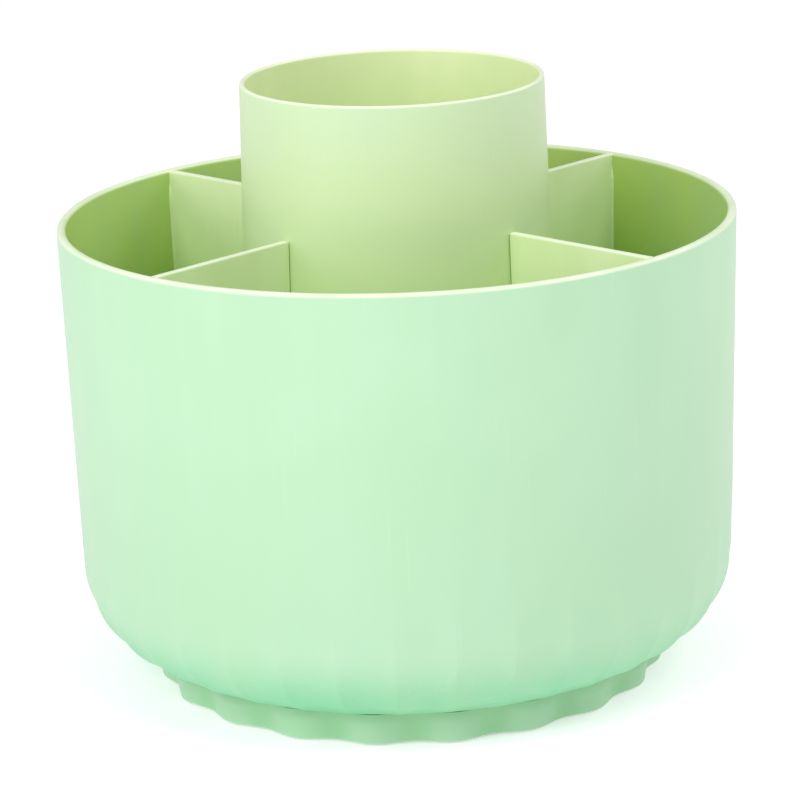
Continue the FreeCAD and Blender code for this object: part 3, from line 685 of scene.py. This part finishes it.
def plateSurface(azimuth):
    # the plate's outline, drawn in by the rounding's own profile from one face over the edge to the
    # other: beside = t/2 - e + e cos a, drawn in by e - e sin a
    edge, half = dividers["edgeRound"], 0.5 * dividers["thick"]
    top = tub["rimHeight"] - dividers["topGap"]
    line = tubInside(tub["wall"] - dividers["seat"], top, dividers["cupGap"], {
        "foot": 2.0 * edge, "step": 2.0 * edge, "top": 2.0 * edge, "inner": dividers["innerCorner"],
    })
    angles = np.linspace(0.0, 0.5 * math.pi, dividers["edgeSteps"] + 1)
    beside = half - edge + edge * np.cos(angles)
    drawn = edge - edge * np.sin(angles)
    beside = np.concatenate([[half], beside, -beside[::-1], [-half]])
    drawn = np.concatenate([[edge + nearEnd], drawn, drawn[::-1], [edge + nearEnd]])
    section = line - outwardNormals(line) * drawn[:, None, None]
    beside = beside[:, None] + 0.0 * section[..., 0]
    points = placed(section[..., 0], beside, section[..., 1], azimuth).reshape(-1, 3)
    edgeMask = ease(top - 2.0 * edge, top - 0.4 * edge, section[..., 1]).ravel()
    return {
        "points": points,
        "faces": cappedFaces(len(drawn), len(line)),
        "masks": {"inside": np.ones(len(points)), "edge": edgeMask},
    }


def rootSurface(azimuth, side):
    # fillet along the tub's inside, on one side of a plate: an arc from the wall at t/2 + R to the
    # plate at R off the wall, closed behind, with R dying out towards the rim and the cup
    half, fullRound, least = 0.5 * dividers["thick"], dividers["rootRound"], dividers["rootLeast"]
    line = tubInside(tub["wall"], tub["rimHeight"], 0.0, {
        "foot": nearEnd, "step": tub["stepRound"], "top": nearEnd, "inner": nearEnd,
    })
    inward = -outwardNormals(line)
    keep = line[:, 1] < tub["rimHeight"] - tub["rimRound"]
    keep &= line[:, 0] > cupRadius(line[:, 1]) + 2.0 * nearEnd
    line, inward = line[keep], inward[keep]
    way = np.concatenate([[0.0], np.cumsum(np.linalg.norm(np.diff(line, axis=0), axis=1))])
    fromEnd = np.minimum(way, way[-1] - way)
    grown = least + (1.0 - least) * ease(0.0, dividers["rootRun"] * fullRound, fromEnd)
    radius = (fullRound * grown)[:, None]
    angles = np.linspace(0.0, 0.5 * math.pi, dividers["rootSteps"] + 1)
    sunk = np.full((len(line), 1), nearEnd)
    beside = [half + radius - radius * np.sin(angles), half - sunk, half - sunk, half + radius]
    off = [radius - radius * np.cos(angles), radius, -sunk, -sunk]
    beside, off = np.concatenate(beside, 1) * side, np.concatenate(off, 1)
    if side < 0:
        beside, off = beside[:, ::-1], off[:, ::-1]
    section = line[:, None, :] + inward[:, None, :] * off[..., None]
    turn = beside / section[..., 0]
    across, along = section[..., 0] * np.cos(turn), section[..., 0] * np.sin(turn)
    points = placed(across, along, section[..., 1], azimuth).reshape(-1, 3)
    return {
        "points": points,
        "faces": cappedFaces(*beside.shape),
        "masks": {"inside": np.ones(len(points))},
    }


def makeDividers():
    for place, degrees in dividers["azimuths"].items():
        azimuth = math.radians(degrees)
        surface = joined([plateSurface(azimuth), rootSurface(azimuth, 1), rootSurface(azimuth, -1)])
        node = f"divider_{place}"
        makePiece(f"{node}_plate", surface, "caddy", [node], dividerPlastic)


makeDividers()
print("caddy: divider plates made")


def makeCup():
    # drafted sleeve with a rounded lip and a foot flange, and four screw bosses standing inside it
    flangeTop = floorHigh + cup["flangeThick"]
    line = roundedSection([
        (cup["flangeInner"], floorHigh, 0.5 * cup["smallRound"]),
        (cup["footRadius"], floorHigh, 0.5 * cup["smallRound"]),
        (cup["rimRadius"], cup["height"], cup["lipRound"]),
        (cup["rimRadius"] - cup["wall"], cup["height"], cup["lipRound"]),
        (cupRadius(flangeTop) - cup["wall"], flangeTop, 2.0 * cup["smallRound"]),
        (cup["flangeInner"], flangeTop, cup["smallRound"]),
    ])
    parts = [spun(line, fullTurn(cup["columns"]), 0.0, sideMasks(line, cup["lipRound"]))]
    bossTop = flangeTop + cup["bossHeight"]
    boss = roundedDisc(cup["bossRadius"], floorHigh + nearEnd, bossTop, nearEnd, 2.0 * cup["smallRound"])
    for turn in fullTurn(cup["bosses"]):
        centre = (cup["bossCircle"] * math.cos(turn), cup["bossCircle"] * math.sin(turn))
        parts.append(turned(boss, cup["bossColumns"], centre, {"inside": 1.0}))
    makePiece("centre_cup_sleeve", joined(parts), "caddy", ["centre_cup"], cupPlastic)


makeCup()
print("caddy: centre cup made")


foot = {
    "edgeHeight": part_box("foot_shell")[0].z,
    "topHeight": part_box("lower_race")[0].z,
    "rimRound": 0.00008,
    "rimGap": 0.00006,  # between the raised rim and the tub's heel, before the lobes move the rim
    "lowRadius": 0.0561,  # middle of the lobes at the lower edge
    "highRadius": 0.0572,
    "lobes": 20,
    "valleyAt": math.radians(-91.0),
    "lobeHeight": 0.00096,
    "shadeFrom": 0.2,  # the valleys' painted shade starts at this share of the lobes' height
    "columns": 16,  # faces round each lobe
    "lowRound": 0.0007,
    "smallRound": 0.0003,
    "skirtInner": 0.05314,
    "deck": 0.0020,
    "hubRadius": 0.0289,
    "hubTop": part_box("foot_shell")[1].z,
    "hubDeck": 0.0024,
    "boreRadius": 0.00252,
    "bossCircles": {0: 0.0317, 45: 0.036},  # first turn in degrees and radius of each ring of bosses
    "bossesEach": 4,
    "bossColumns": 32,
    "bossRadius": 0.0032,
    "bossLow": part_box("foot_plate")[1].z,
}


def makeFoot():
    # skirt and deck in one outline round the axis; the skirt's radius is r - h cos(20 (a - v)), with
    # a valley at the angle v, and the waves die out towards the inside of the skirt; before the waves
    # move it in and out, the rim stands off the tub's heel, an arc about heelCentre, by the rim's gap
    deckUnder = foot["topHeight"] - foot["deck"]
    hubInner = foot["hubRadius"] - foot["deck"]
    hubUnder = foot["hubTop"] - foot["hubDeck"]
    small = foot["smallRound"]
    heelCentre = tub["heelRadius"] + wallSlope * tub["heelRound"] - tub["heelRound"] * wallSecant
    rim = []
    for share in (1.0, 0.5, 0.0):
        out = share * (foot["highRadius"] - heelCentre)
        drop = math.sqrt((tub["heelRound"] + foot["rimGap"]) ** 2 - out * out)
        rim.append((heelCentre + out, tub["underHeight"] + tub["heelRound"] - drop, foot["rimRound"]))
    line = roundedSection([
        (foot["boreRadius"], hubUnder, small),
        (hubInner, hubUnder, small),
        (hubInner, deckUnder, small),
        (foot["skirtInner"], deckUnder, small),
        (foot["skirtInner"], foot["edgeHeight"], small),
        (foot["lowRadius"], foot["edgeHeight"], foot["lowRound"]),
        *rim,
        (heelCentre, foot["topHeight"], 0.5 * small),
        (foot["hubRadius"], foot["topHeight"], small),
        (foot["hubRadius"], foot["hubTop"], small),
        (foot["boreRadius"], foot["hubTop"], small),
    ], spacing=0.0015)
    count = foot["lobes"] * foot["columns"]
    angles = foot["valleyAt"] + fullTurn(count)
    wave = -np.cos(foot["lobes"] * (angles - foot["valleyAt"]))
    weight = ease(foot["skirtInner"], foot["lowRadius"] - foot["lowRound"], line[:, 0])[:, None]
    surface = spun(line, angles)
    scale = 1.0 + foot["lobeHeight"] * weight * wave / line[:, :1]
    surface["points"][:, :2] *= scale.reshape(-1, 1)
    # the valleys are darkened in colour, painted shade
    surface["masks"]["groove"] = (weight * ease(foot["shadeFrom"], -1.0, wave)).ravel()
    lower = ease(foot["edgeHeight"] + foot["lowRound"], foot["edgeHeight"], line[:, 1])
    surface["masks"]["edge"] = np.repeat(lower * weight[:, 0], count)
    parts = [surface]
    boss = roundedDisc(foot["bossRadius"], foot["bossLow"], deckUnder + small, small, 0.5 * small)
    for degrees, circle in foot["bossCircles"].items():
        for number in range(foot["bossesEach"]):
            turn = math.radians(degrees + 360 / foot["bossesEach"] * number)
            centre = (circle * math.cos(turn), circle * math.sin(turn))
            parts.append(turned(boss, foot["bossColumns"], centre))
    makePiece("foot_skirt", joined(parts), "foot", ["foot_shell"], footPlastic)


makeFoot()
print("caddy: foot made")


# CAD nodes that keep their own mesh, and what each is made of
keptFinishes = {
    "foot_plate": footPlastic, "rubber_feet": rubber, "pivot_cap": cupPlastic,
    "pivot_bush": nylon, "ball_cage": nylon, "bearing_balls": bearingSteel,
    "upper_race": zincSteel, "lower_race": zincSteel, "upper_race_screws": zincSteel,
    "lower_race_screws": zincSteel, "foot_plate_screws": zincSteel, "pivot_bolt": zincSteel,
    "pivot_washer": zincSteel, "pivot_nut": zincSteel,
}
for node, material in keptFinishes.items():
    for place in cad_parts[node].material_slots:
        place.material = material
print("caddy: small parts finished")


studio = {
    "floorSize": 12.0, "floorColour": (252, 245, 252), "floorGlow": 0.33,
    "floorRoughness": 0.9, "floorShine": 0.2,
    "sky": (1.0, 1.0, 1.0), "skyStrength": 0.50,
    "lights": {  # place, watts, size
        "key": ((-1.0, -1.3, 1.5), 16.2, 1.0),
        "leftLow": ((-1.8, -1.1, 0.5), 9.1, 1.0),
        "rightHigh": ((1.0, -1.2, 1.6), 9.9, 1.0),
        "rightBack": ((1.3, 0.7, 1.6), 4.9, 1.0),
        "rightLow": ((1.7, 0.4, 0.9), 3.4, 1.0),
    },
    "aim": (0.0, 0.0, 0.06),
}


def makeStudio():
    half = 0.5 * studio["floorSize"]
    mesh = bpy.data.meshes.new("floor")
    corners = [(-half, -half, 0.0), (half, -half, 0.0), (half, half, 0.0), (-half, half, 0.0)]
    mesh.from_pydata(corners, [], [(0, 1, 2, 3)])
    floor = bpy.data.objects.new("floor", mesh)
    scene.collection.objects.link(floor)
    paper = bpy.data.materials.new("pale_paper")
    paper.use_nodes = True
    shader = paper.node_tree.nodes["Principled BSDF"]
    shader.inputs["Base Color"].default_value = tint(*studio["floorColour"])
    shader.inputs["Roughness"].default_value = studio["floorRoughness"]
    shader.inputs["Specular IOR Level"].default_value = studio["floorShine"]
    shader.inputs["Emission Color"].default_value = tint(*studio["floorColour"])
    shader.inputs["Emission Strength"].default_value = studio["floorGlow"]
    mesh.materials.append(paper)
    world = bpy.data.worlds.new("studio")
    world.use_nodes = True
    sky = world.node_tree.nodes["Background"]
    sky.inputs["Color"].default_value = (*studio["sky"], 1.0)
    sky.inputs["Strength"].default_value = studio["skyStrength"]
    scene.world = world
    for name, (place, watts, size) in studio["lights"].items():
        light = bpy.data.lights.new(name, "AREA")
        light.shape = "DISK"
        light.size = size
        light.energy = watts
        lamp = bpy.data.objects.new(name, light)
        scene.collection.objects.link(lamp)
        lamp.location = place
        lamp.rotation_euler = (Vector(studio["aim"]) - Vector(place)).to_track_quat("-Z", "Y").to_euler()
    scene.view_settings.view_transform = "Standard"


camera = {
    "place": (-0.0131, -0.7524, 0.2780),
    "yaw": 0.95, "pitch": 16.10, "roll": -2.01,  # degrees
    "lens": 156.96, "sensor": 36.0,  # millimetres
    "nearest": 0.01, "farthest": 100.0,
}


def makeCamera():
    # looks along +Y turned by the yaw and down by the pitch, then rolls about its own line of sight
    yaw, pitch, roll = (math.radians(camera[key]) for key in ("yaw", "pitch", "roll"))
    ahead = Vector((math.sin(yaw) * math.cos(pitch), math.cos(yaw) * math.cos(pitch), -math.sin(pitch)))
    right = ahead.cross(Vector((0.0, 0.0, 1.0))).normalized()
    up = right.cross(ahead)
    rolledRight = math.cos(roll) * right + math.sin(roll) * up
    rolledUp = math.cos(roll) * up - math.sin(roll) * right
    data = bpy.data.cameras.new("camera")
    data.lens = camera["lens"]
    data.sensor_width = camera["sensor"]
    data.clip_start = camera["nearest"]
    data.clip_end = camera["farthest"]
    viewer = bpy.data.objects.new("camera", data)
    scene.collection.objects.link(viewer)
    axes = Matrix((rolledRight, rolledUp, -ahead)).transposed().to_4x4()
    viewer.matrix_world = Matrix.Translation(camera["place"]) @ axes
    scene.camera = viewer


makeStudio()
makeCamera()
print("caddy: studio ready")
